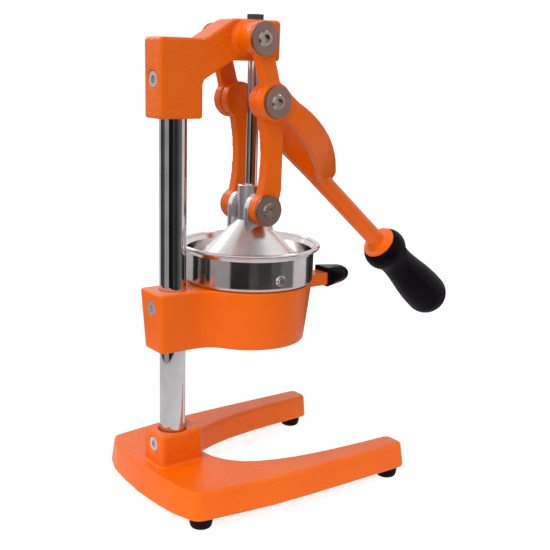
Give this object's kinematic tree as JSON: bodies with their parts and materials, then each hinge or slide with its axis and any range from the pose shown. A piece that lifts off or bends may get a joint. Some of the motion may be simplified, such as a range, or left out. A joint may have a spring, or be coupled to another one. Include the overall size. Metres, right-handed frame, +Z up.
{
  "type": "lever citrus juice press",
  "caption": "Free-standing lever juice press: U-shaped foot, steel post, ringed cup with strainer, and a forked hand lever that drives a cone down a guide rod.",
  "frame": {"origin": "on the pressing axis, which runs through the cup, the cone and the guide rod, at the level of the table", "axes": "+Z up along the pressing axis; +X from the post towards the hand grip; +Y to the left seen from the post"},
  "size_m": [0.3542, 0.1712, 0.4047],
  "materials": {
    "enamel": "glossy",
    "rubber": "matte",
    "zinc": "satin",
    "chrome": "polished",
    "grip": "satin",
    "stainless": "brushed",
    "brass": "satin",
    "dark_steel": "satin",
    "aluminium": "satin"
  },
  "bodies": {
    "frame": {"base_casting": "enamel", "rubber_feet": "rubber", "foot_screws": "zinc", "support_post": "chrome", "base_set_screw": "zinc", "cup_holder": "enamel", "grip_cap": "grip", "holder_set_screw": "zinc", "juice_cup": "stainless", "juice_funnel": "stainless", "outlet_spout": "stainless", "strainer_dome": "stainless", "head_casting": "enamel", "head_set_screw": "zinc", "guide_bush": "brass", "left_head_screw": "zinc", "right_head_screw": "zinc", "left_head_washer": "dark_steel", "right_head_washer": "dark_steel"},
    "press": {"press_cone": "aluminium", "guide_rod": "chrome", "stop_nut": "dark_steel", "left_press_screw": "zinc", "right_press_screw": "zinc", "left_press_washer": "dark_steel", "right_press_washer": "dark_steel"},
    "lever": {"lever_fork": "enamel", "hand_grip": "grip", "left_knee_screw": "zinc", "right_knee_screw": "zinc", "left_knee_washer": "dark_steel", "right_knee_washer": "dark_steel"},
    "left_link": {"left_link": "enamel"},
    "right_link": {"right_link": "enamel"}
  },
  "joints": [
    {"name": "lever_swing", "type": "hinge", "parent": "frame", "child": "lever", "pos_m": [-0.0162, 0, 0.38508], "axis": [0, -1, 0], "range_deg": [0, 100]},
    {"name": "press_slide", "type": "slide", "parent": "frame", "child": "press", "axis": [0, 0, 1], "range_m": [0, 0.07593]},
    {"name": "left_link_swing", "type": "hinge", "parent": "press", "child": "left_link", "pos_m": [0, 0.02, 0.24844], "axis": [0, 1, 0], "range_deg": [0, 19.71]},
    {"name": "right_link_swing", "type": "hinge", "parent": "press", "child": "right_link", "pos_m": [0, -0.02, 0.24844], "axis": [0, 1, 0], "range_deg": [0, 19.71]}
  ],
  "couplings": [
    {"joint": "press_slide", "follows": "lever_swing", "m_per_rad": 0.043506},
    {"joint": "left_link_swing", "follows": "lever_swing", "ratio": 0.19712},
    {"joint": "right_link_swing", "follows": "lever_swing", "ratio": 0.19712}
  ]
}
